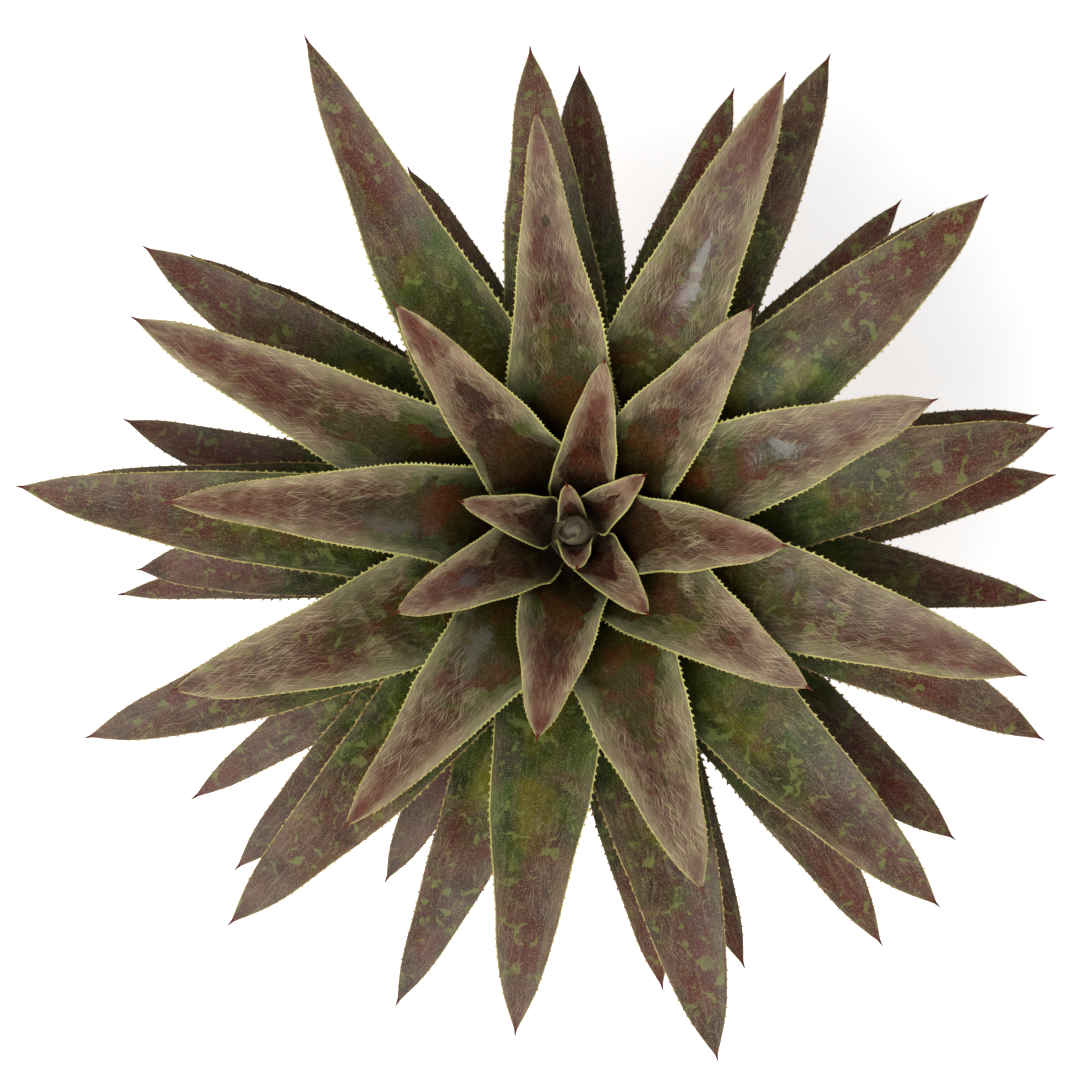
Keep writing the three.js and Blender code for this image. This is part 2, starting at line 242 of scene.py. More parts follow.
def build(name, points, faces, material, stands_for=(), uv=None, values=None, crisp=40):
    """Makes one closed piece from arrays, gives it its pattern map and values, and fixes it to the frame.
    Edges sharper than crisp, in degrees, stay sharp in the shading."""
    faces = facing_out(points, faces)
    mesh = bpy.data.meshes.new(name)
    corners = np.concatenate([group.ravel() for group in faces])
    sizes = np.concatenate([np.full(len(group), group.shape[1]) for group in faces])
    mesh.vertices.add(len(points))
    mesh.vertices.foreach_set("co", points.astype(np.float32).ravel())
    mesh.loops.add(len(corners))
    mesh.loops.foreach_set("vertex_index", corners.astype(np.int32))
    mesh.polygons.add(len(sizes))
    mesh.polygons.foreach_set("loop_start", (np.cumsum(sizes) - sizes).astype(np.int32))
    mesh.update(calc_edges=True)
    if uv is not None:
        layer = mesh.uv_layers.new(name="pattern")
        layer.data.foreach_set("uv", uv[corners].astype(np.float32).ravel())
    for key, column in (values or {}).items():
        kind, field = ("FLOAT", "value") if column.ndim == 1 else ("FLOAT_VECTOR", "vector")
        mesh.attributes.new(key, kind, "POINT").data.foreach_set(field, column.astype(np.float32).ravel())
    mesh.materials.append(material)
    mesh.shade_smooth()
    mesh.set_sharp_from_angle(angle=math.radians(crisp))
    mesh.validate()
    piece = bpy.data.objects.new(name, mesh)
    bpy.context.scene.collection.objects.link(piece)
    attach(piece, "root")
    if stands_for:
        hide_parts(*stands_for)
    return piece


# ---------------------------------------------------------------- shader nodes


class Board:
    """Places and joins nodes in one tree. Anything given for a socket is a number, a colour or another
    output."""

    def __init__(self, tree):
        self.tree = tree

    def node(self, kind, sockets=None, **settings):
        made = self.tree.nodes.new(kind)
        for key, value in settings.items():
            setattr(made, key, value)
        for key, value in (sockets or {}).items():
            self.give(made.inputs[key], value)
        return made

    def give(self, socket, value):
        if isinstance(value, bpy.types.NodeSocket):
            self.tree.links.new(value, socket)
        elif socket.type == "RGBA":
            socket.default_value = (*value[:3], 1)
        else:
            socket.default_value = value

    def math(self, operation, first, *others):
        """The operation on the first value and the next, then on that result and the next, and so on."""
        for other in others:
            first = self.node("ShaderNodeMath", {0: first, 1: other}, operation=operation).outputs[0]
        return first

    def times(self, *values):
        return self.math("MULTIPLY", *values)

    def plus(self, *values):
        return self.math("ADD", *values)

    def most(self, *values):
        return self.math("MAXIMUM", *values)

    def less(self, first, second):
        return self.math("SUBTRACT", first, second)

    def size_of(self, value):
        return self.node("ShaderNodeMath", {0: value}, operation="ABSOLUTE").outputs[0]

    def vector(self, operation, first, second):
        key = "Scale" if operation == "SCALE" else 1
        return self.node("ShaderNodeVectorMath", {0: first, key: second}, operation=operation).outputs[0]

    def stretched(self, vector, scale, shift=(0, 0, 0)):
        sockets = {"Vector": vector, "Location": shift, "Scale": scale}
        return self.node("ShaderNodeMapping", sockets).outputs[0]

    def step(self, value, low, high, to_low=0.0, to_high=1.0):
        """to_low where the value is at low, to_high where it is at high, and an even S curve between them."""
        sockets = {"Value": value, "From Min": low, "From Max": high, "To Min": to_low, "To Max": to_high}
        return self.node("ShaderNodeMapRange", sockets, interpolation_type="SMOOTHSTEP").outputs[0]

    def blend(self, factor, first, second):
        return self.node("ShaderNodeMix", {0: factor, 6: first, 7: second}, data_type="RGBA").outputs[2]

    def noise(self, vector, scale, detail=2.0, roughness=0.5, distortion=0.0, out=0):
        sockets = {"Vector": vector, "Scale": scale, "Detail": detail}
        sockets.update({"Roughness": roughness, "Distortion": distortion})
        return self.node("ShaderNodeTexNoise", sockets).outputs[out]

    def split(self, vector):
        return self.node("ShaderNodeSeparateXYZ", {0: vector}).outputs

    def attribute(self, name, out="Fac"):
        """A value that the mesh carries under a name."""
        return self.node("ShaderNodeAttribute", attribute_name=name).outputs[out]

    def use(self, tree, **sockets):
        """Places a node group, fills its sockets and returns its outputs."""
        return self.node("ShaderNodeGroup", sockets, node_tree=tree).outputs


def effect(name, numbers, outputs, draw):
    """A shader node group, made once. It takes Vector and the named numbers, with their defaults, and gives
    the named numbers out. draw gets the board and the inputs, and returns the outputs."""
    found = bpy.data.node_groups.get(name)
    if found:
        return found
    tree = bpy.data.node_groups.new(name, "ShaderNodeTree")
    tree.interface.new_socket("Vector", in_out="INPUT", socket_type="NodeSocketVector")
    for key, default in numbers.items():
        tree.interface.new_socket(key, in_out="INPUT", socket_type="NodeSocketFloat").default_value = default
    for key in outputs:
        tree.interface.new_socket(key, in_out="OUTPUT", socket_type="NodeSocketFloat")
    board = Board(tree)
    entry, leave = tree.nodes.new("NodeGroupInput"), tree.nodes.new("NodeGroupOutput")
    for socket, value in zip(leave.inputs, draw(board, entry.outputs)):
        board.give(socket, value)
    return tree


def brushed_wax():
    """Short pale strokes, like wax brushed over skin: noise drawn out about 35 to 1 along three slants,
    bent by slow noise, and kept where it is over Low. The strongest of the three slants is taken at each
    place."""

    def draw(board, given):
        at, low = given["Vector"], given["Low"]
        warp = board.noise(at, 55.0, 1.0, out=1)
        bent = board.vector("ADD", at, board.vector("SCALE", warp, 0.004))
        masks = []
        for turn, wide, shift in ((0.05, 2300.0, 0.0), (0.42, 2100.0, 3.1), (-0.3, 2200.0, 7.7)):
            sockets = {"Vector": bent, "Angle": turn}
            spun = board.node("ShaderNodeVectorRotate", sockets, rotation_type="Z_AXIS").outputs[0]
            drawn = board.stretched(spun, (wide, 62.0, 1), (shift, shift, 0))
            masks.append(board.step(board.noise(drawn, 1.0, 2.0, 0.55), low, board.plus(low, 0.1)))
        patchy = board.step(board.noise(at, 70.0, 3.0, 0.6), 0.34, 0.6, 0.3, 1.0)
        return (board.times(board.most(*masks), patchy),)

    return effect("brushed_wax", {"Low": 0.52}, ["Mask"], draw)


def blotches():
    """Soft or hard-edged patches of a stated size: noise with a little swirl, cut at Level over a band of
    Softness."""

    def draw(board, given):
        level, softness = given["Level"], given["Softness"]
        value = board.noise(given["Vector"], board.math("DIVIDE", 1.0, given["Size"]), 3.0, 0.55, 0.6)
        return board.step(value, board.less(level, softness), board.plus(level, softness)), value

    return effect("blotches", {"Size": 0.02, "Level": 0.5, "Softness": 0.1}, ["Mask", "Value"], draw)


def grain():
    """Fine specks: the cores of small random cells, kept in some cells only."""

    def draw(board, given):
        scale = board.math("DIVIDE", 1.0, given["Size"])
        cells = board.node("ShaderNodeTexVoronoi", {"Vector": given["Vector"], "Scale": scale}).outputs
        core = board.step(cells["Distance"], 0.12, 0.42, 1.0, 0.0)
        chosen = board.step(board.split(cells["Color"])[0], given["Level"], board.plus(given["Level"], 0.1))
        return board.times(core, chosen), cells["Distance"]

    return effect("grain", {"Size": 0.001, "Level": 0.5}, ["Mask", "Distance"], draw)


class Skin(Board):
    """A material painted in layers. Each layer covers those under it by the product of its masks. Patterns
    lie in the piece's own space, or on its pattern map if mapped is set."""

    def __init__(self, name, show, roughness, specular, mapped=False):
        self.material = bpy.data.materials.new(name)
        self.material.use_nodes = True
        self.material.diffuse_color = (*show, 1)
        super().__init__(self.material.node_tree)
        self.tree.nodes.clear()
        sockets = {"Base Color": show, "Roughness": roughness, "Specular IOR Level": specular}
        self.shader = self.node("ShaderNodeBsdfPrincipled", sockets)
        self.node("ShaderNodeOutputMaterial", {"Surface": self.shader.outputs[0]})
        self.colour = show
        if mapped:
            self.at = self.node("ShaderNodeUVMap", uv_map="pattern").outputs[0]
        else:
            self.at = self.node("ShaderNodeTexCoord").outputs["Object"]

    def patch(self, size, level=0.5, softness=0.1, shift=0.0, at=None):
        """Mask and Value of patches of a size. A shift moves them, so that no two sets lie alike."""
        moved = self.vector("ADD", self.at if at is None else at, (shift, shift, 0))
        return self.use(blotches(), Vector=moved, Size=size, Level=level, Softness=softness)

    def mask(self, *numbers):
        return self.patch(*numbers)["Mask"]

    def specks(self, size, level):
        return self.use(grain(), Vector=self.at, Size=size, Level=level)

    def strokes(self, low):
        return self.use(brushed_wax(), Vector=self.at, Low=low)["Mask"]

    def layer(self, colour, *masks):
        self.colour = self.blend(self.times(*masks), self.colour, colour)

    def finish(self, height, distance, strength):
        """Gives the shader its colour and a bump of a height map, whose full height is distance."""
        made = self.node("ShaderNodeBump", {"Height": height, "Distance": distance, "Strength": strength})
        self.give(self.shader.inputs["Base Color"], self.colour)
        self.give(self.shader.inputs["Normal"], made.outputs[0])
        return self.material


LEAF_LOOK = {  # for young skin and for old skin
    "channel": (0.85, 0.6),  # strength of the deep maroon in the channel
    "green_full": (0.34, 0.44),  # share of the length up to which the green is full
    "green_end": (0.64, 0.74),  # share of the length where it ends
    "veil": (0.42, 0.2),  # strength of the wax over the sides
    "smear": (0.3, 0.15),  # strength of the wax smears
    "stroke_level": (0.555, 0.59),  # noise level over which brushed strokes show
    "strokes": (0.36, 0.2),  # strength of the brushed strokes
    "specks": (0.14, 0.3),  # strength of the fine pale specks
}
CUP = 0.32  # share of the length where the cup's bare skin is centred
DULL, GLOSSY, WAXY = (0.46,) * 3, (0.21,) * 3, (0.68,) * 3  # roughness of skin, of bare cup skin and of wax


def leaf_material(name, s, old):
    """Waxed leaf skin. Young skin is mauve under brushed wax, with bare glossy patches in the cup. Old skin
    is maroon with green at the foot and pale flecks. The rim, the teeth and the spine take their colours
    from the values that the mesh carries: place (share of the length, share of the half width, age), rim
    (metres from the edge), tooth (0 at a tooth's root to 1 at its point) and under (1 on the lower
    face)."""
    look = {key: pair[old] for key, pair in LEAF_LOOK.items()}
    base, shade = (s.old_skin, s.old_shade) if old else (s.young_skin, s.young_shade)
    skin = Skin(name, base, 0.5, 0.24, mapped=True)
    layer, mask, patch, blend, step = skin.layer, skin.mask, skin.patch, skin.blend, skin.step
    times, plus, less, most = skin.times, skin.plus, skin.less, skin.most
    along, across, age = skin.split(skin.attribute("place", "Vector"))
    edge = skin.size_of(across)
    tooth, rim, under = (skin.attribute(key) for key in ("tooth", "rim", "under"))

    # two close shades, pale towards the tips of young leaves and red in places
    layer(shade, mask(0.024, 0.5, 0.14))
    pale = times(step(along, 0.35, 0.85), step(age, 0.42, 0.08, 0.14, 0.8))
    layer(blend(mask(0.013, 0.5, 0.2, 1.1), s.young_tip, s.young_skin), pale)
    redness = times(mask(0.05, 0.52, 0.1, 1.7), step(edge, 0.9, 0.3), step(along, 0.3, 0.5))
    layer(paint(86, 25, 14), redness, 0.8)

    # the middle of the channel is deep maroon, and the sides are paler
    channel = times(step(edge, 0.72, 0.2), step(age, 0.06, 0.16), step(along, 0.95, 0.55))
    layer(s.channel, channel, look["channel"])

    # green rises from the foot to a ragged end, deeper in some places and yellower along the channel
    reach = plus(along, times(less(patch(0.03, 0.5, 0.2, 4.1)["Value"], 0.5), 0.8))
    green = step(reach, look["green_full"], look["green_end"], 1.0, 0.0)
    green = times(green, step(age, 0.09, 0.18))
    hue = blend(mask(0.02, 0.52, 0.18, 7.3), s.foot_green, paint(20, 30, 3))
    glow = times(mask(0.028, 0.54, 0.12, 10.6), step(edge, 0.7, 0.2), 0.6)
    layer(blend(glow, hue, paint(112, 102, 2)), green, 0.97)

    # long soft streaks run with the fibres
    drawn = skin.stretched(skin.at, (420.0, 32.0, 1))
    layer(s.bloom, step(skin.noise(drawn, 1.0, 2.0, 0.6), 0.5, 0.72), 0.1)

    # grey wax, thinner on green and red skin: a veil over the sides, and smears with lobed edges
    veil = times(step(edge, 0.45, 0.95), step(age, 0.7, 0.2, 0.3, 1.0), mask(0.03, 0.38, 0.25, 6.0))
    veil = times(veil, step(along, 0.12, 0.4), look["veil"])
    smear = times(mask(0.018, 0.56, 0.012, 2.6), mask(0.005, 0.4, 0.3, 2.9), look["smear"])
    smear = times(smear, step(along, 0.75, 0.45), step(age, 0.1, 0.25, 0.3, 1.0))
    bright = most(times(green, step(edge, 0.97, 0.55), 0.75), times(redness, 0.7))
    clear = less(1.0, bright)
    wax = times(most(veil, smear), clear)
    layer(s.bloom, wax)
    strokes = times(skin.strokes(look["stroke_level"]), clear, step(under, 0.4, 0.6, 1.0, 0.3))
    strokes = times(strokes, step(along, 0.05, 0.4, 0.35, 1.0))
    layer(s.fibre, strokes, look["strokes"])

    # bare glossy patches in the cup, with hard lobed edges
    lean = plus(times(skin.size_of(less(along, CUP)), -1.15), times(edge, -0.52))
    bare = step(plus(patch(0.034, 0.5, 0.1, 8.8)["Value"], lean), 0.1, 0.13)
    bare = times(bare, step(age, 0.45, 0.32), step(under, 0.6, 0.4))
    warm = mask(0.02, 0.56, 0.12, 9.4)
    young_cup = blend(times(warm, 0.8), s.cup_dark, s.cup_warm)
    middle_cup = blend(warm, paint(50, 46, 5), s.cup_warm)
    cup = blend(step(age, 0.14, 0.28), young_cup, middle_cup)
    layer(blend(times(strokes, 0.06), cup, s.fibre), bare, 0.85)

    # fine specks all over, and pale flecks on old leaves
    layer(s.fibre, skin.specks(0.0006, 0.4)["Mask"], look["specks"])
    flecks = times(mask(0.006, 0.59, 0.03, 12.0), mask(0.03, 0.46, 0.06, 14.0))
    flecks = times(flecks, step(age, 0.22, 0.42), step(along, 0.2, 0.35), step(edge, 1.0, 0.85))
    layer(s.fleck, flecks, 0.55)

    # painted shade: the skin is darkened down in the cup and among the feet, where the leaves shade one
    # another, and the lower face is paler
    painted_shade_reach = step(age, 0.1, 0.6, 0.14, 0.03)
    layer(paint(15, 11, 4), step(along, painted_shade_reach, 0.46, 0.84, 0.0))
    layer(blend(mask(0.012, 0.5, 0.2, 17.0), paint(104, 106, 74), paint(84, 72, 58)), under, 0.75)

    # rim, teeth, tip and spine
    straw = most(step(age, 0.3, 0.62), step(along, 0.5, 0.95, 0.0, 0.7))
    rim_colour = blend(straw, s.rim_young, s.rim_old)
    rim_colour = blend(times(mask(0.0028, 0.56, 0.05, 3.3), straw), rim_colour, s.spine)
    rim_end = step(age, 0.3, 0.6, 0.0006, 0.0005)
    layer(rim_colour, most(step(rim, rim_end, 0.0002), tooth), 0.95)
    tooth_point = times(step(tooth, 0.45, 1.0), step(age, 0.2, 0.6, 0.15, 0.9))
    layer(s.spine, most(tooth_point, step(along, 0.975, 0.998)))

    rough = blend(most(times(strokes, 0.5), wax), blend(bare, DULL, GLOSSY), WAXY)
    skin.give(skin.shader.inputs["Roughness"], rough)
    skin.give(skin.shader.inputs["Specular IOR Level"], step(bare, 0.0, 1.0, 0.24, 0.42))
    uneven = times(patch(0.006, 0.5, 0.3, 5.0)["Value"], 1.6)
    raised = times(strokes, step(bare, 0.0, 1.0, 0.2, 0.03))
    height = plus(raised, plus(uneven, times(wax, 0.4)))
    return skin.finish(height, 0.00022, 0.7)


def bud_material(s):
    """Bud skin: grey green brown, mauve low down, with brushed wax. The seam (tooth) is pale, and a painted
    shadow darkens the skin tucked under it (under)."""
    skin = Skin("bud_skin", s.bud_skin, 0.5, 0.42, mapped=True)
    up = skin.split(skin.attribute("place", "Vector"))[0]
    skin.colour = skin.blend(skin.step(up, 0.25, 0.8), s.bud_shade, s.bud_skin)
    skin.layer(paint(112, 96, 84), skin.mask(0.006, 0.5, 0.15), 0.4)
    strokes = skin.strokes(0.54)
    skin.layer(paint(196, 188, 168), strokes, 0.3)
    # painted shadow: a dark line on the skin just under the outer wrap's edge
    skin.layer(paint(52, 42, 32), skin.attribute("under"), 0.6)
    skin.layer(paint(176, 168, 104), skin.attribute("tooth"), 0.8)
    return skin.finish(strokes, 0.0002, 0.6)


def crown_material(s):
    """Dry stem skin: tan with darker scars (tooth) and a fibrous upright grain."""
    skin = Skin("crown_skin", s.crown_skin, 0.85, 0.3)
    fibres = skin.patch(0.0012, 0.5, 0.15, at=skin.stretched(skin.at, (1, 1, 0.2)))
    skin.layer(paint(108, 88, 54), skin.mask(0.012, 0.5, 0.2))
    skin.layer(paint(74, 56, 38), fibres["Mask"], 0.5)
    skin.layer(paint(58, 42, 30), skin.attribute("tooth"), 0.8)
    return skin.finish(fibres["Value"], 0.0005, 0.8)


def soil_material(s):
    """Damp potting mix: dark peat with lighter fibres and fine grit, rough all over."""
    skin = Skin("potting_mix", s.mix, 0.92, 0.25)
    clods, fine = skin.patch(0.006, 0.5, 0.18), skin.patch(0.0016, 0.55, 0.1)
    skin.layer(paint(36, 26, 21), clods["Mask"])
    skin.layer(s.bark, fine["Mask"], 0.5)
    skin.layer(paint(150, 136, 118), skin.specks(0.0022, 0.8)["Mask"], 0.6)
    return skin.finish(skin.plus(fine["Value"], clods["Value"]), 0.0016, 1.0)


def crumb_material(name, show, dark):
    """Loose crumbs: each takes its own shade from the value it carries, with a fine pitted grain."""
    skin = Skin(name, show, 0.9, 0.3)
    pits = skin.specks(0.0007, 0.4)
    skin.colour = skin.blend(skin.attribute("place"), dark, show)
    skin.layer(dark, pits["Mask"], 0.4)
    return skin.finish(pits["Distance"], 0.0004, 0.8)


def clay_material(s):
    """Fired clay: two close reds in soft clouds, sandy specks, damp near the foot and pale salts in
    drifts."""
    skin = Skin("fired_clay", s.clay, 0.86, 0.3)
    height = skin.split(skin.at)[2]
    top = float(box_of("pot")[1][2])
    fine, specks = skin.patch(0.0022, 0.5, 0.2), skin.specks(0.0017, 0.72)["Mask"]
    skin.layer(s.clay_dark, skin.mask(0.045, 0.5, 0.2), 0.45)
    ragged = skin.plus(height, skin.times(skin.patch(0.03)["Value"], 0.05))
    skin.layer(s.clay_dark, skin.step(ragged, 0.035, 0.085, 0.7, 0.0))
    salts = skin.most(skin.step(height, 0.03, 0.07, 0.9, 0.25), skin.step(height, top - 0.02, top, 0.0, 0.75))
    skin.layer(s.lime, skin.mask(0.024, 0.58, 0.12), salts, 0.6)
    skin.layer(paint(120, 62, 44), specks, 0.45)
    skin.layer(paint(222, 160, 124), fine["Mask"], 0.12)
    return skin.finish(skin.plus(fine["Value"], skin.times(specks, -0.5)), 0.0004, 0.6)


# ---------------------------------------------------------------- leaves

RING = 8  # corners in each ring of a plain leaf
ACROSS = np.array([-1, -0.55, 0, 0.55, 1])  # where the five places of a ring's middle line lie, across
CROWDING = 1.12  # over 1, the rows of a blade lie closer together towards the tip
LENS = 0.9  # power of the blade's cross-section
LOWER_PATTERN = 0.9  # metres by which the lower face's pattern map is moved along, away from the upper face's


def plain_corners(node):
    """The corners of a plain leaf, each once, and a table of which ones share an edge."""
    mesh = frame["nodes"][node].data
    loose = np.empty(len(mesh.vertices) * 3, np.float32)
    mesh.vertices.foreach_get("co", loose)
    loose = loose.reshape(-1, 3).astype(float)
    near = np.linalg.norm(loose[:, None] - loose[None], axis=-1) < 1e-5
    first, index = np.unique(near.argmax(1), return_inverse=True)
    triangles = np.empty(len(mesh.polygons) * 3, np.int32)
    mesh.polygons.foreach_get("vertices", triangles)
    triangles = index[triangles].reshape(-1, 3)
    linked = np.zeros((len(first),) * 2, bool)
    linked[triangles, np.roll(triangles, 1, 1)] = True
    return loose[first], linked | linked.T


def plain_rings(node):
    """The middle surface and half thickness of a plain leaf, foot first. Its corners lie in rings of eight,
    found by walking from corner to corner from the tip. The two corners farthest apart are the edges. The
    other six make three pairs across the blade, whose mean is on the middle surface."""
    corners, linked = plain_corners(node)
    foot = np.array([0, 0, corners[:, 2].min()])
    for tip in np.argsort(-np.linalg.norm(corners - foot, axis=1)):
        seen = np.zeros(len(corners), bool)
        seen[tip] = True
        rings = []
        while not seen.all():
            ring = linked[seen].any(0) & ~seen
            if ring.sum() != RING:
                break
            rings.insert(0, corners[ring])
            seen |= ring
        if seen.all():
            break
    else:
        raise RuntimeError(f"{node} is not made of rings of {RING} corners")
    centres = np.array([ring.mean(0) for ring in rings] + [corners[tip]])
    heading = unit(np.gradient(centres, axis=0))
    middle, half = [], []
    for ring, ahead in zip(rings, heading):
        side = unit(np.array([-ahead[1], ahead[0], 0]))
        apart = np.linalg.norm(ring[:, None] - ring[None], axis=-1)
        ends = np.unravel_index(apart.argmax(), apart.shape)
        left, right = sorted(ends, key=lambda i: ring[i] @ side)
        chord = unit(ring[right] - ring[left])
        order = np.argsort((ring - ring[left]) @ chord)
        pairs = ring[order[1:-1]].reshape(3, 2, 3)
        middle.append([ring[left], *pairs.mean(1), ring[right]])
        half.append(np.linalg.norm(pairs[1, 0] - pairs[1, 1]) / 2)
    middle.append([corners[tip]] * len(ACROSS))
    half.append(half[-1] * 0.6)
    return np.array(middle), np.array(half)


def normals(grid):
    """Unit normals of a grid of points, on the side that looks up on the whole."""
    found = unit(np.cross(np.gradient(grid, axis=0), np.gradient(grid, axis=1)))
    return found * np.sign(found[:, :, 2].mean())


def edge_waves(u, v, span, total, s, seed):
    """How far a blade's surface waves up and down: a sine of the length on each side, growing with u
    squared, and a little unevenness all over. Both fade out at the foot and the tip, and grow with the
    blade's breadth."""
    draw = np.random.default_rng(seed)
    phase = draw.uniform(0, TURN, 4)
    turns = draw.uniform(2.2, 4.2, 2)
    left, right = (np.sin(phase[k] + TURN * turns[k] * v)[:, None] for k in (0, 1))
    sway = left * np.where(u < 0, 1, 0) + right * np.where(u > 0, 1, 0)
    fade = (smooth(v, 0.1, 0.35) * smooth(v, 1.0, 0.8))[:, None]
    breadth = min(float(span.max()) / 0.05, 1.2)
    places = np.stack([np.outer(v * total, np.ones_like(u)), np.outer(span / 2, u)], -1)
    uneven = lumps(places.reshape(-1, 2), 0.022, seed + 1).reshape(sway.shape)
    return breadth**2 * s.wave * sway * u**2 * fade + breadth * 0.0004 * uneven * fade


def half_thickness(u, v, span, thick, s):
    """Half thickness across a blade: a lens, T (1 - u^2)^0.9, on a rim whose outer edge is a half circle.
    Both get thinner in the last tenth of the length."""
    slim = smooth(v, 1.0, 0.9)
    rim = (s.rim / 2 * (0.45 + 0.55 * slim))[:, None]
    rim_share = np.clip(rim / np.maximum(span / 2, 1e-5)[:, None], 0.01, 0.5)
    lens = np.clip((thick * (0.25 + 0.75 * slim))[:, None] - rim, 0, None)
    past = np.clip(np.abs(u) - (1 - rim_share), 0, None) / rim_share
    return lens * (1 - u**2) ** LENS + rim * np.sqrt(np.clip(1 - past**2, 0, 1))


def blade(node, s, age, seed):
    """One blade with its rim. The middle surface is a spline along (v = 0 to 1) and a polynomial across (u
    = -1 to 1) through the plain leaf's corners. Returns its faces, what its points carry, its two edges
    with the way out of the blade along each, the way ahead at the tip, and its length."""
    middle, half = plain_rings(node)
    centre = middle[:, 2]
    knots = np.concatenate([[0], np.cumsum(np.linalg.norm(np.diff(centre, axis=0), axis=1))])
    total = knots[-1]
    v = (1 - (1 - np.linspace(0, 1, s.rows)) ** CROWDING)[:-1]
    u = -np.cos(np.linspace(0, math.pi, s.columns + 1))
    surface = np.einsum("cn,rnk->rck", through(ACROSS, u), spline(knots, middle, v * total))
    span = np.linalg.norm(surface[:, -1] - surface[:, 0], axis=1)
    surface = surface + normals(surface) * edge_waves(u, v, span, total, s, seed)[..., None]
    lift = normals(surface) * half_thickness(u, v, span, np.interp(v * total, knots, half), s)[..., None]
    loop = np.concatenate([surface + lift, (surface - lift)[:, -2:0:-1]], 1)
    points, faces = capped(loop, surface[0].mean(0), centre[-1])
    u_loop = np.concatenate([u, u[-2:0:-1]])
    below = np.concatenate([np.zeros(len(u)), np.ones(len(u) - 2)])
    below[[0, len(u) - 1]] = 0.5
    v, width, run = v[:, None], span[:, None] / 2, (v * total)[:, None]
    lower_side = np.where(below > 0.6, LOWER_PATTERN, 0.0)
    pattern = [on_corners(loop, u_loop * width), on_corners(loop, run + lower_side, 0, total)]
    place = [on_corners(loop, v, 0, 1), on_corners(loop, u_loop), np.full(len(points), age)]
    carried = {
        "points": points,
        "uv": np.stack(pattern, -1) + pattern_shift(seed),
        "place": np.stack(place, -1),
        "rim": on_corners(loop, (1 - np.abs(u_loop)) * width, 0.01),
        "tooth": np.zeros(len(points)),
        "under": on_corners(loop, below, 1, 0.5),
    }
    edges = [(surface[:, side], surface[:, side] - surface[:, inner]) for side, inner in ((0, 1), (-1, -2))]
    ahead = unit(centre[-1] - loop[-3:].reshape(-1, 3).mean(0))
    return faces, carried, edges, ahead, total


def pattern_shift(seed):
    """How far a leaf's pattern map is moved, so that no two leaves wear the same pattern."""
    return np.array([seed * 0.371, seed * 0.219])


def teeth(edge, s, age, draw):
    """Hooked teeth along one edge. Each is a small four-sided pyramid in three tiers: its root straddles
    the rim, its waist leans towards the tip by a quarter of its height and its point by most of its height.
    Gaps shrink on young leaves, and heights fall from the foot to the tip. Returns points, faces, shares of
    length and of height."""
    curve, outwards = edge
    run = np.concatenate([[0], np.cumsum(np.linalg.norm(np.diff(curve, axis=0), axis=1))])
    spacing = s.tooth_spacing * (0.52 + 0.48 * smooth(age, 0.15, 0.5))
    start, stop = 0.1 * run[-1], 0.93 * run[-1]
    count = max(int((stop - start) / spacing), 4)
    place = np.linspace(start, stop, count) + draw.uniform(-0.22, 0.22, count) * spacing

    def along(values):
        return np.stack([np.interp(place, run, values[:, k]) for k in range(3)], -1)

    root = along(curve)
    out = unit(along(unit(outwards)))
    ahead = unit(along(np.gradient(curve, axis=0)))
    out = unit(out - (out * ahead).sum(-1, keepdims=True) * ahead)
    high = unit(np.cross(out, ahead))
    share_along = place / run[-1]
    tall = s.tooth_height * (0.42 + 0.58 * smooth(age, 0.08, 0.3))
    tall = tall * (1 - 0.62 * smooth(share_along, 0.35, 0.8)) * draw.uniform(0.7, 1.1, count)
    wide = np.minimum(tall * 0.75, spacing * 0.42)
    deep = s.rim * 0.36
    corner = np.array([[-1, -1], [1, -1], [1, 1], [-1, 1]], float)
    tiers = []
    for reach, lean, size in ((-0.35, 0.0, 1.0), (0.42, 0.25, 0.5)):
        base = root + out * (tall * reach)[:, None] + ahead * (tall * lean)[:, None]
        sides = base[:, None] + ahead[:, None] * (wide[:, None] * size * corner[:, 0])[..., None]
        tiers.append(sides + high[:, None] * (deep * size * corner[:, 1])[None, :, None])
    point = root + out * tall[:, None] + ahead * (tall * 0.75)[:, None]
    points = np.concatenate([*tiers, point[:, None]], 1)
    each = points.shape[1]
    side = np.arange(4)
    after = (side + 1) % 4
    quads = np.concatenate([np.stack([side, after, after + 4, side + 4], -1), [[3, 2, 1, 0]]])
    tips = np.stack([side + 4, after + 4, np.full(4, each - 1)], -1)
    first = (np.arange(count) * each)[:, None, None]
    faces = [(quads + first).reshape(-1, 4), (tips + first).reshape(-1, 3)]
    height = np.tile([0.25] * 4 + [0.6] * 4 + [1.0], count)
    return points.reshape(-1, 3), faces, np.repeat(share_along, each), height


def spine(tip, ahead, s):
    """A slim cone at the leaf's tip, narrowing as the 0.8 power of what is left of its length."""
    steps = np.array([0, 0.25, 0.5, 0.75, 0.92])
    side = unit(np.cross(ahead, [0, 0, 1]))
    up = np.cross(side, ahead)
    angle = np.arange(10) / 10 * TURN
    ring = np.cos(angle)[:, None] * side + np.sin(angle)[:, None] * up
    radius = 0.0008 * (1 - steps) ** 0.8
    centre = tip + ahead * (steps - 0.45)[:, None] * s.spine_length
    grid = centre[:, None] + ring * radius[:, None, None]
    return capped(grid, centre[0], tip + ahead * 0.55 * s.spine_length)


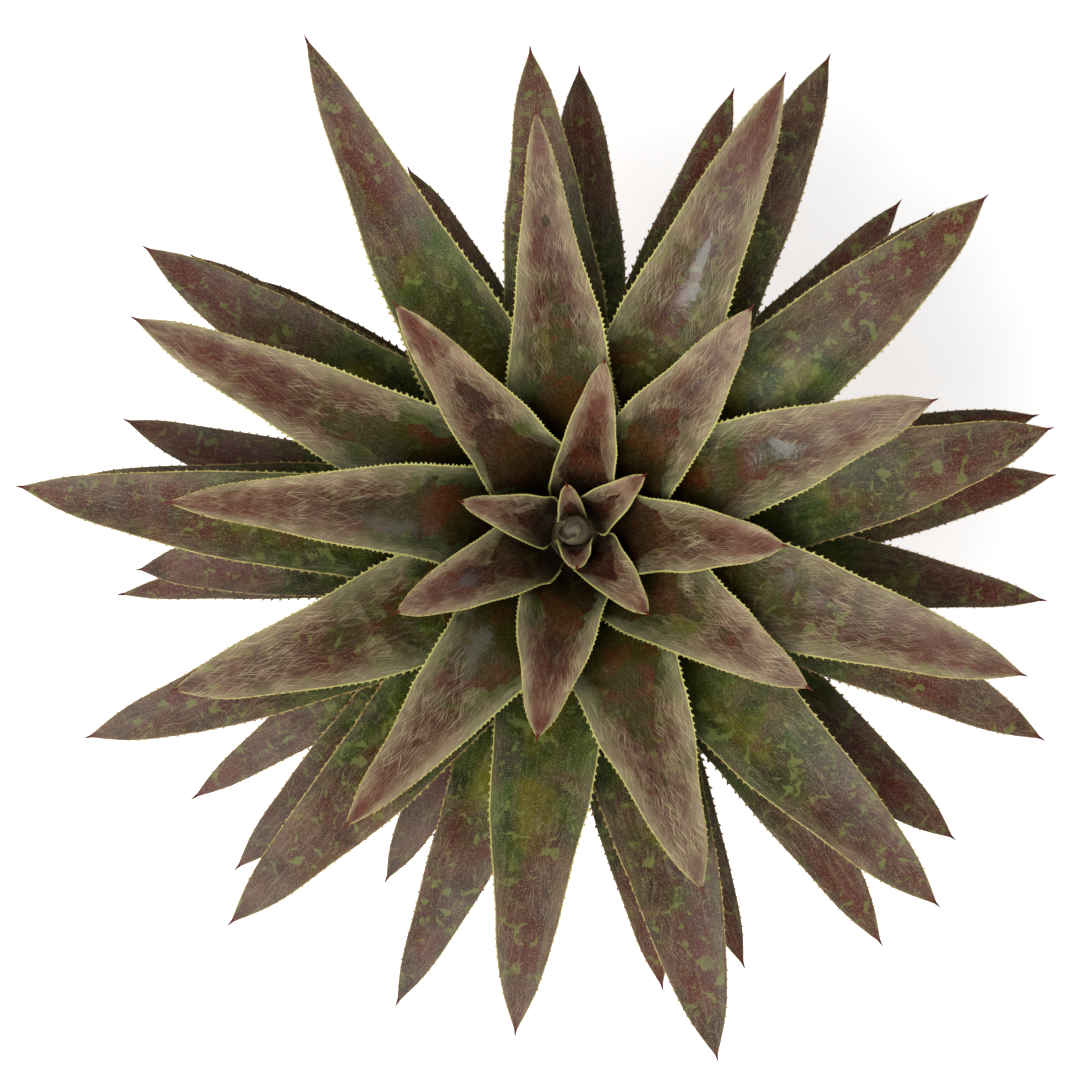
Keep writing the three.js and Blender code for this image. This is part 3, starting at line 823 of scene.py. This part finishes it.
def make_leaf(node, index, s, material):
    """One leaf: its blade, a row of teeth on each edge and its spine, in one mesh."""
    age = (index + 1) / len(LEAVES)
    faces, carried, edges, ahead, total = blade(node, s, age, index + 1)
    parts = [(facing_out(carried["points"], faces), carried)]
    draw = np.random.default_rng(1000 + index)

    def add(points, faces, along, tooth):
        none = np.zeros(len(points))
        uv = np.stack([none + 0.02, along * total], -1) + pattern_shift(index + 1)
        place = np.stack([along, none + 1, none + age], -1)
        carried = {"points": points, "uv": uv, "place": place, "rim": none, "tooth": tooth, "under": none}
        parts.append((facing_out(points, faces), carried))

    for edge in edges:
        add(*teeth(edge, s, age, draw))
    cone, cone_faces = spine(carried["points"][-1], ahead, s)
    add(cone, cone_faces, np.ones(len(cone)), np.full(len(cone), 0.9))
    starts = np.cumsum([0] + [len(held["points"]) for _, held in parts])
    faces = [np.concatenate([group[k] + start for (group, _), start in zip(parts, starts)]) for k in (0, 1)]
    values = {key: np.concatenate([held[key] for _, held in parts]) for key in carried}
    points, uv = values.pop("points"), values.pop("uv")
    build(f"{node}_blade", points, faces, material, (node,), uv, values, crisp=50)


class MANGAVE_OT_leaves(bpy.types.Operator):
    """Makes every toothed blade on its own plain leaf"""

    bl_idname = "mangave.leaves"
    bl_label = "Leaves"

    def execute(self, context):
        s = context.scene.mangave_leaves
        slots = {row["node"]: row["material_slot"] for row in frame["record"]["subparts"]}
        young, old = leaf_material("young_leaf_skin", s, False), leaf_material("old_leaf_skin", s, True)
        for index, node in enumerate(LEAVES):
            make_leaf(node, index, s, young if slots[node] == "leaf_inner" else old)
        return {"FINISHED"}


# ---------------------------------------------------------------- bud and crown

BUD_ROWS, BUD_COLUMNS = 72, 120
BUD_OUTLINE = ([0, 0.3, 0.6, 0.85, 1.0], [0.35, 0.7, 1.0, 0.82, 0.0])  # shares of height and of radius
SEAM_STEPS = [0.9985, 0.9992, 0.9997]  # shares of a turn just before the seam, where the wrap jumps back
DOME_ROWS = 8  # rows at the top of the bud that close it with a round end
NECK = 20 / 27  # radius of the crown's neck, as a share of the crown's greatest radius
NECK_RISE, SWELL_RISE = 0.008, 0.012  # from the mix to the neck's top, and from there to the widest place
SCARS = 90
SCAR_WIDTH, SCAR_HEIGHT = 0.011, 0.0022


class MANGAVE_OT_bud(bpy.types.Operator):
    """Makes the bud of rolled young leaves"""

    bl_idname = "mangave.bud"
    bl_label = "Bud"

    def execute(self, context):
        """The bud is a spindle whose radius falls by one wrap step in each turn from a seam, then jumps
        back. The seam winds a third of a turn on its way up, and a sixth more round the top."""
        s = context.scene.mangave_heart
        low, high = box_of("bud")
        centre, tallness, widest = (low + high) / 2, high[2] - low[2], (high[0] - low[0]) / 2
        up = np.linspace(0, 1, BUD_ROWS)
        outline = np.interp(up, *BUD_OUTLINE)
        outline = np.convolve(np.pad(outline, 4, mode="edge"), np.ones(9) / 9, "valid")
        end = np.sqrt(np.clip(1 - (np.arange(DOME_ROWS) / (DOME_ROWS - 0.6)) ** 2, 0, 1))
        outline[-DOME_ROWS:] = outline[-DOME_ROWS] * end
        turn = np.linspace(0, 1, BUD_COLUMNS - len(SEAM_STEPS), endpoint=False)
        turn = np.concatenate([turn, SEAM_STEPS])
        up_here, outline = up[:, None], outline[:, None]
        seam = 2.1 + up_here * TURN / 3 + 1.1 * up_here**8
        fall = np.where(turn < 0.998, turn, 0)
        fade = smooth(up_here, 0.05, 0.3) * smooth(up_here, 1.0, 0.93)
        radius = np.clip(widest * outline - s.wrap_step * fall * fade - 0.0004, 0.0003, None)
        angle = seam + turn * TURN
        wobble = 1 + 0.03 * np.sin(angle * 3 + up_here * 5)
        grid = around(centre, radius * wobble, angle, low[2] + up_here * tallness)
        points, faces = capped(grid, (*centre[:2], low[2]), (*centre[:2], high[2]))
        none = np.zeros(len(points))
        values = {
            "place": np.stack([on_corners(grid, up_here, 0, 1), on_corners(grid, turn), none], -1),
            "tooth": on_corners(grid, smooth(turn, 0.03, 0.0)),
            # under: where the painted shadow falls, just under the outer wrap's edge
            "under": on_corners(grid, smooth(turn, 0.86, 0.995)),
        }
        uv = [on_corners(grid, turn * widest * TURN), on_corners(grid, up_here * tallness, 0, tallness)]
        uv = np.stack(uv, -1)
        build("bud_rolled", points, faces, bud_material(s), ("bud",), uv, values)
        return {"FINISHED"}


class MANGAVE_OT_crown(bpy.types.Operator):
    """Makes the crown with its spiral of leaf scars"""

    bl_idname = "mangave.crown"
    bl_label = "Crown"

    def execute(self, context):
        """The crown is a turned neck and dome. Scars follow the golden turn, and each is a shallow dip
        whose depth falls off with the distance from its middle, squeezed 5 to 1 so that it is wide and
        low."""
        s = context.scene.mangave_heart
        low, high = box_of("crown")
        centre, widest = (low + high) / 2, (high[0] - low[0]) / 2
        neck = box_of("soil")[1][2] + NECK_RISE
        dome_steps = np.sin(np.linspace(0.02, 1, 60) * math.pi / 2)
        heights = np.concatenate([np.linspace(low[2], neck, 16), neck + (high[2] - neck) * dome_steps])
        foot, swell = widest * NECK, neck + SWELL_RISE
        dome = np.sqrt(np.clip(1 - np.clip((heights - swell) / (high[2] - swell + 0.002), 0, 1) ** 2, 0, 1))
        flare = foot + (widest - foot) * smooth(heights, neck - 0.004, swell)
        radius = np.where(heights < swell, flare, widest * dome)[:, None]
        heights = heights[:, None]
        angle = np.arange(120) / 120 * TURN
        scars = np.arange(SCARS)
        gap = (angle[:, None] - scars * GOLDEN_TURN + math.pi) % TURN - math.pi
        flat = gap * radius[..., None] / SCAR_WIDTH
        tall = (heights[..., None] - neck - scars * (high[2] - neck) / SCARS) / SCAR_HEIGHT
        dip = np.exp(-(flat**2) - tall**2).max(-1)
        rough = lumps(around((0, 0), radius, angle, heights).reshape(-1, 3), 0.006, 5).reshape(dip.shape)
        out = radius - s.scar_depth * dip + 0.0003 * rough
        out = np.clip(out, 0.0004, None) - 0.0005 * (radius > 0.001)
        grid = around(centre, out, angle, heights)
        points, faces = capped(grid, (*centre[:2], low[2]), (*centre[:2], high[2]))
        values = {"tooth": on_corners(grid, dip)}
        build("crown_stem", points, faces, crown_material(s), ("crown",), values=values)
        return {"FINISHED"}


# ---------------------------------------------------------------- potting mix


def turned(points, first, second, angle):
    """Points of each grain turned by the grain's angle, from the first axis towards the second."""
    cos, sin = np.cos(angle)[:, None], np.sin(angle)[:, None]
    result = points.copy()
    result[..., first] = points[..., first] * cos - points[..., second] * sin
    result[..., second] = points[..., first] * sin + points[..., second] * cos
    return result


def scatter(count, low, high, size, centre, heights, draw):
    """Loose grains: each is a cube with a low pyramid on each side, jittered, stretched and laid on the
    mix."""
    corners = np.array([[x, y, z] for x in (-1, 1) for y in (-1, 1) for z in (-1, 1)], float) * 0.62
    poles = np.array([[1, 0, 0], [-1, 0, 0], [0, 1, 0], [0, -1, 0], [0, 0, 1], [0, 0, -1]], float)
    base = np.concatenate([corners, poles])
    squares = ((4, 6, 7, 5), (0, 1, 3, 2), (2, 3, 7, 6), (0, 4, 5, 1), (1, 5, 7, 3), (0, 2, 6, 4))
    sides = [(ring[k], ring[(k + 1) % 4], pole) for pole, ring in enumerate(squares, 8) for k in range(4)]
    tris = np.array(sides)
    radius = np.sqrt(draw.uniform(low**2, high**2, count))
    angle = draw.uniform(0, TURN, count)
    scale = draw.uniform(0.45, 1.0, (count, 1)) ** 1.6 * size
    scale = scale * draw.uniform([0.7, 0.7, 0.5], [1.2, 1.2, 0.7], (count, 3))
    spin, tilt = draw.uniform(0, TURN, count), draw.normal(0, 0.5, count)
    shape = base * (1 + draw.uniform(-0.22, 0.22, (count, len(base), 3))) * scale[:, None]
    shape = turned(turned(shape, 1, 2, tilt), 0, 1, spin)
    seat = around(centre, radius, angle, heights(radius, angle) + scale[:, 2] * 0.35)
    faces = (tris + (np.arange(count) * len(base))[:, None, None]).reshape(-1, 3)
    return (shape + seat[:, None]).reshape(-1, 3), faces, np.repeat(draw.uniform(0, 1, count), len(base))


class MANGAVE_OT_soil(bpy.types.Operator):
    """Makes the potting mix and the loose crumbs and pumice on it"""

    bl_idname = "mangave.soil"
    bl_label = "Potting mix"

    def execute(self, context):
        """The mix is a turned plug with the pot's inner slope. Its top is a mound that falls evenly from
        the crown to the wall, with a slight dish before the wall, and has lumps of three sizes."""
        s = context.scene.mangave_soil
        low, high = box_of("soil")
        crown_low, crown_high = box_of("crown")
        centre, outer = (low + high) / 2, (high[0] - low[0]) / 2
        inner = (crown_high[0] - crown_low[0]) / 2 * NECK
        edge = high[2] - 0.005
        angle = np.arange(240) / 240 * TURN

        def mound(radius):
            across = np.clip((radius - inner) / (outer - inner), 0, 1)
            return high[2] + (edge - high[2]) * across + 0.0012 * smooth(across, 0.85, 1.0)

        def relief(radius, turn):
            places = around((0, 0), radius, turn, 0)[..., :2]
            kinds = ((0.5, 0.014, 31), (0.35, 0.006, 32), (0.3, 0.003, 33))
            bumps = sum(part * lumps(places.reshape(-1, 2), size, seed) for part, size, seed in kinds)
            return s.relief * bumps.reshape(places.shape[:-1])

        wall = np.array([(0.684, low[2]), (0.965, low[2] + (high[2] - low[2]) * 0.85), (0.998, edge - 0.002)])
        across = np.linspace(outer * 0.995, inner + 0.0006, 96)[:, None]
        tops = mound(across) + relief(across, angle) * smooth(across, outer, outer * 0.97) - 0.0005
        side = around(centre, outer * wall[:, :1], angle, wall[:, 1:])
        grid = np.concatenate([side, around(centre, across, angle, tops)])
        points, faces = capped(grid, (*centre[:2], low[2]), (*centre[:2], tops[-1].mean()))
        build("potting_mix", points, faces, soil_material(s), ("soil",))
        draw = np.random.default_rng(77)

        def heights(radius, turn):
            return mound(radius) + relief(radius, turn)

        for name, count, size, show, dark in (
            ("soil_crumbs", s.crumbs, 0.0034, s.bark, paint(40, 28, 22)),
            ("soil_pumice", s.pumice, 0.0026, s.grain, paint(150, 140, 124)),
        ):
            points, faces, shade = scatter(count, inner + 0.003, outer * 0.965, size, centre, heights, draw)
            values = {"place": np.repeat(shade[:, None], 3, 1)}
            material = crumb_material(name + "_skin", show, dark)
            build(name, points, [faces], material, values=values, crisp=35)
        return {"FINISHED"}


# ---------------------------------------------------------------- pot

POT_BASE, POT_BODY = 0.062, 0.086  # outer radius at the foot and under the collar
COLLAR_HEIGHT = 0.034
WALL, COLLAR_WALL = 0.007, 0.011
HOLES, HOLE_RADIUS, HOLE_RING = 4, 0.006, 0.036


def rounded(profile, radius, steps=5):
    """The profile with each corner swapped for a curve: a quadratic arc that leaves and meets its sides at
    up to the stated distance from the corner, and never more than 0.45 of the shorter side."""
    smoothed = [profile[0]]
    for before, corner, after in zip(profile[:-2], profile[1:-1], profile[2:]):
        back, on = np.linalg.norm(before - corner), np.linalg.norm(after - corner)
        reach = min(radius, 0.45 * back, 0.45 * on)
        start, end = corner + (before - corner) / back * reach, corner + (after - corner) / on * reach
        t = np.linspace(0, 1, steps)[:, None]
        smoothed.extend((1 - t) ** 2 * start + 2 * t * (1 - t) * corner + t**2 * end)
    smoothed.append(profile[-1])
    return np.array(smoothed)


def cut_holes(piece, cutters):
    """Subtracts the cutters from a piece and keeps the result as its mesh."""
    for cutter in cutters:
        modifier = piece.modifiers.new("hole", "BOOLEAN")
        modifier.operation, modifier.object, modifier.solver = "DIFFERENCE", cutter, "EXACT"
    bpy.context.view_layer.update()
    cut = bpy.data.meshes.new_from_object(piece.evaluated_get(bpy.context.evaluated_depsgraph_get()))
    piece.modifiers.clear()
    piece.data = cut
    for cutter in cutters:
        bpy.data.objects.remove(cutter)


class MANGAVE_OT_pot(bpy.types.Operator):
    """Makes the clay pot"""

    bl_idname = "mangave.pot"
    bl_label = "Pot"

    def execute(self, context):
        """The pot is a turned wall, rounded at each corner, with faint turning marks, then its drain holes
        are cut through its floor."""
        s = context.scene.mangave_pot
        low, high = box_of("pot")
        centre, outer, top = (low + high) / 2, (high[0] - low[0]) / 2, high[2]
        floor = box_of("soil")[0][2] - 0.0004
        collar = top - COLLAR_HEIGHT
        slope = (POT_BODY - POT_BASE) / (collar - 0.002)
        profile = [(0, 0), (POT_BASE, 0), (POT_BODY, collar), (outer - 0.001, collar), (outer, top)]
        profile += [(outer - COLLAR_WALL, top), (POT_BODY - WALL, collar)]
        profile += [(POT_BASE + slope * floor - WALL, floor), (0, floor)]
        profile = rounded(np.array(profile), s.rounding)
        fine = [profile[:1]]
        for a, b in zip(profile[:-1], profile[1:]):
            steps = max(int(np.linalg.norm(b - a) / 0.002), 1)
            fine.append(a + (b - a) * (np.arange(1, steps + 1) / steps)[:, None])
        profile = np.concatenate(fine)[1:-1]
        marks = np.sin(profile[:, 1] * TURN / 0.0031) + 0.6 * np.sin(profile[:, 1] * TURN / 0.0083 + 1.3)
        upright = smooth(np.abs(np.gradient(profile[:, 1])), 0.0006, 0.0014)
        angle = np.arange(s.segments) / s.segments * TURN
        radius = profile[:, :1] + (s.ripple * marks * upright)[:, None] * (1 + 0.3 * np.sin(angle * 2 + 0.7))
        grid = around(centre, radius, angle, profile[:, 1:])
        points, faces = capped(grid, (*centre[:2], 0), (*centre[:2], floor))
        piece = build("clay_pot", points, faces, clay_material(s), ("pot",), crisp=50)
        turns = (np.arange(HOLES) + 0.5) / HOLES * TURN
        cutters = []
        for middle in around(centre, HOLE_RING, turns, floor / 2):
            sizes = {"vertices": 48, "radius": HOLE_RADIUS, "depth": floor * 3}
            bpy.ops.mesh.primitive_cylinder_add(location=middle, **sizes)
            cutters.append(context.object)
        cut_holes(piece, cutters)
        return {"FINISHED"}


# ---------------------------------------------------------------- stage

FLOOR_HALF = 5.0
CAMERA_PLACE, CAMERA_LENS, CAMERA_SENSOR = (-0.0165, -0.005, 1.9), 113.3, 36.0

def area_light(name, place, target, size, power):
    """A square soft light at a place, turned so that it faces the target."""
    data = bpy.data.lights.new(name, "AREA")
    data.size, data.energy = size, power
    lamp = bpy.data.objects.new(name, data)
    lamp.location = place
    lamp.rotation_euler = (Vector(target) - Vector(place)).to_track_quat("-Z", "Y").to_euler()
    bpy.context.scene.collection.objects.link(lamp)


class MANGAVE_OT_stage(bpy.types.Operator):
    """Makes the pale floor, the soft lights and the camera that looks straight down"""

    bl_idname = "mangave.stage"
    bl_label = "Stage"

    def execute(self, context):
        s = context.scene.mangave_stage
        scene = context.scene
        skin = Skin("pale_floor", s.floor, 0.9, 0.1)
        skin.layer(tuple(0.99 * c for c in s.floor), skin.mask(0.8, 0.5, 0.4))
        skin.give(skin.shader.inputs["Base Color"], skin.colour)
        skin.give(skin.shader.inputs["Emission Color"], (1, 1, 1))
        skin.give(skin.shader.inputs["Emission Strength"], s.glow)
        mesh = bpy.data.meshes.new("pale_floor")
        corners = [(x * FLOOR_HALF, y * FLOOR_HALF, 0) for x, y in ((-1, -1), (1, -1), (1, 1), (-1, 1))]
        mesh.from_pydata(corners, [], [(0, 1, 2, 3)])
        mesh.materials.append(skin.material)
        floor = bpy.data.objects.new("pale_floor", mesh)
        scene.collection.objects.link(floor)
        area_light("soft_key", (-0.8, -0.75, 2.5), (0, 0, 0.2), 1.6, s.key)
        area_light("soft_side", (1.6, 0.9, 1.0), (0, 0, 0.2), 1.2, s.rim)
        world = bpy.data.worlds.new("even_light")
        world.use_nodes = True
        background = world.node_tree.nodes["Background"]
        background.inputs["Color"].default_value = (1, 1, 1, 1)
        background.inputs["Strength"].default_value = s.sky
        scene.world = world
        scene.view_settings.view_transform = "Standard"
        data = bpy.data.cameras.new("camera")
        data.sensor_width, data.lens = CAMERA_SENSOR, CAMERA_LENS
        data.clip_start, data.clip_end = 0.05, 50
        camera = bpy.data.objects.new("camera", data)
        camera.location = CAMERA_PLACE
        scene.collection.objects.link(camera)
        scene.camera = camera
        return {"FINISHED"}


# ---------------------------------------------------------------- panel and run


class MANGAVE_PT_panel(bpy.types.Panel):
    bl_label = "Potted mangave"
    bl_idname = "MANGAVE_PT_panel"
    bl_space_type = "VIEW_3D"
    bl_region_type = "UI"
    bl_category = "Mangave"

    def draw(self, context):
        for name, operators in PANEL_ROWS.items():
            column = self.layout.box().column()
            settings = getattr(context.scene, name)
            for key in settings.bl_rna.properties.keys():
                if key not in ("rna_type", "name"):
                    column.prop(settings, key)
            for operator in operators:
                column.operator(operator.bl_idname)


SETTINGS = {
    "mangave_leaves": MangaveLeafSettings,
    "mangave_heart": MangaveHeartSettings,
    "mangave_soil": MangaveSoilSettings,
    "mangave_pot": MangavePotSettings,
    "mangave_stage": MangaveStageSettings,
}
PANEL_ROWS = {
    "mangave_leaves": (MANGAVE_OT_leaves,),
    "mangave_heart": (MANGAVE_OT_bud, MANGAVE_OT_crown),
    "mangave_soil": (MANGAVE_OT_soil,),
    "mangave_pot": (MANGAVE_OT_pot,),
    "mangave_stage": (MANGAVE_OT_stage,),
}
OPERATORS = [operator for row in PANEL_ROWS.values() for operator in row]


def register():
    for item in (*SETTINGS.values(), *OPERATORS, MANGAVE_PT_panel):
        bpy.utils.register_class(item)
    for name, kind in SETTINGS.items():
        setattr(bpy.types.Scene, name, bpy.props.PointerProperty(type=kind))


def unregister():
    for name in SETTINGS:
        delattr(bpy.types.Scene, name)
    for item in (MANGAVE_PT_panel, *reversed(OPERATORS), *reversed(SETTINGS.values())):
        bpy.utils.unregister_class(item)


def main():
    register()
    bpy.ops.mangave.stage()
    bpy.ops.mangave.leaves()
    bpy.ops.mangave.bud()
    bpy.ops.mangave.crown()
    bpy.ops.mangave.soil()
    bpy.ops.mangave.pot()


if __name__ == "__main__":
    main()
